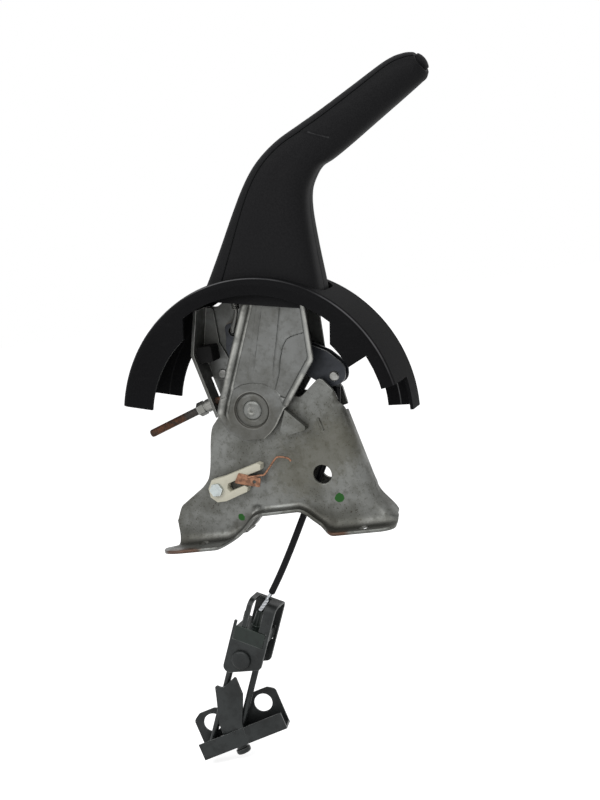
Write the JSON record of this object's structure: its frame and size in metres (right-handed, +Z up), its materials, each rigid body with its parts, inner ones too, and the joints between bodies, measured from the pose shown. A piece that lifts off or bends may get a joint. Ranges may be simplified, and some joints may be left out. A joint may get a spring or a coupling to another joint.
{
  "type": "parking brake lever",
  "caption": "Hand-pulled parking brake lever on a pressed floor bracket, with ratchet, release button, slot shroud, warning switch, and a cable ending in an equaliser bar.",
  "frame": {"origin": "middle of the four floor bolts, on the mounting plane under the feet", "axes": "+Z up, away from the floor; +X forward, towards the end of the grip; the lever swings in the XZ plane"},
  "size_m": [0.2827, 0.078, 0.5278],
  "materials": {
    "zinc_sheet": "dull zinc plate with stains and handling marks",
    "bright_steel": "bright zinc plate",
    "dark_steel": "dark phosphate with oil",
    "rusty_steel": "surface rust on a thread",
    "coated_steel": "worn dark coat",
    "black_plastic": "fine grained moulding",
    "shroud_plastic": "smooth moulding, slightly shiny",
    "black_rubber": "plain",
    "cream_plastic": "aged moulding",
    "copper_brass": "tarnished",
    "cable_coat": "smooth extruded coat"
  },
  "bodies": {
    "bracket": {"bracket_near": "zinc_sheet", "bracket_far": "zinc_sheet", "ratchet_sector": "dark_steel", "sector_rivets": "bright_steel", "pivot_rivet": "bright_steel", "switch_body": "cream_plastic", "switch_screw": "bright_steel", "switch_terminal": "copper_brass", "switch_contact": "copper_brass"},
    "lever": {"lever_arm_near": "zinc_sheet", "lever_arm_far": "zinc_sheet", "adjuster_bracket": "zinc_sheet", "bracket_rivet": "bright_steel", "bump_stop": "black_rubber", "adjuster_rod": "rusty_steel", "adjuster_nut": "bright_steel", "rod_pin": "bright_steel", "cable_link": "dark_steel", "link_pin": "bright_steel", "pawl_pin": "dark_steel", "core_pin": "bright_steel", "lever_core": "bright_steel", "lever_cover_near": "black_plastic", "lever_cover_far": "black_plastic", "spine_trim": "black_plastic", "slot_shroud": "shroud_plastic", "shroud_screws": "dark_steel"},
    "pawl": {"pawl": "dark_steel"},
    "release": {"release_button": "shroud_plastic", "release_rod": "bright_steel", "release_spring": "bright_steel"},
    "cable": {"cable_eye": "coated_steel", "cable_sleeve": "cable_coat", "cable_wire": "bright_steel", "cable_ferrule": "coated_steel", "equaliser_clip": "coated_steel", "clip_pin": "coated_steel"},
    "equaliser": {"equaliser_yoke": "coated_steel", "equaliser_bar": "coated_steel", "bar_bolt": "coated_steel"}
  },
  "joints": [
    {"name": "lever_pull", "type": "hinge", "parent": "bracket", "child": "lever", "pos_m": [-0.008, 0, 0.102], "axis": [0, -1, 0], "range_deg": [0, 34]},
    {"name": "button_press", "type": "slide", "parent": "lever", "child": "release", "axis": [-0.8904, 0, -0.4552], "range_m": [0, 0.0042], "stiffness_N_per_m": 900},
    {"name": "pawl_lift", "type": "hinge", "parent": "lever", "child": "pawl", "pos_m": [-0.022, 0.0076, 0.148], "axis": [0, -1, 0], "range_deg": [0, 18]},
    {"name": "cable_swing", "type": "hinge", "parent": "lever", "child": "cable", "pos_m": [0.0584, 0, 0.1186], "axis": [0, -1, 0], "range_deg": [-36, 2]},
    {"name": "equaliser_rock", "type": "hinge", "parent": "cable", "child": "equaliser", "pos_m": [-0.05671, 0, -0.09717], "axis": [0, -1, 0], "range_deg": [-14, 14]}
  ],
  "couplings": [
    {"joint": "pawl_lift", "follows": "button_press", "rad_per_m": 71.43},
    {"joint": "cable_swing", "follows": "lever_pull", "ratio": -1}
  ]
}
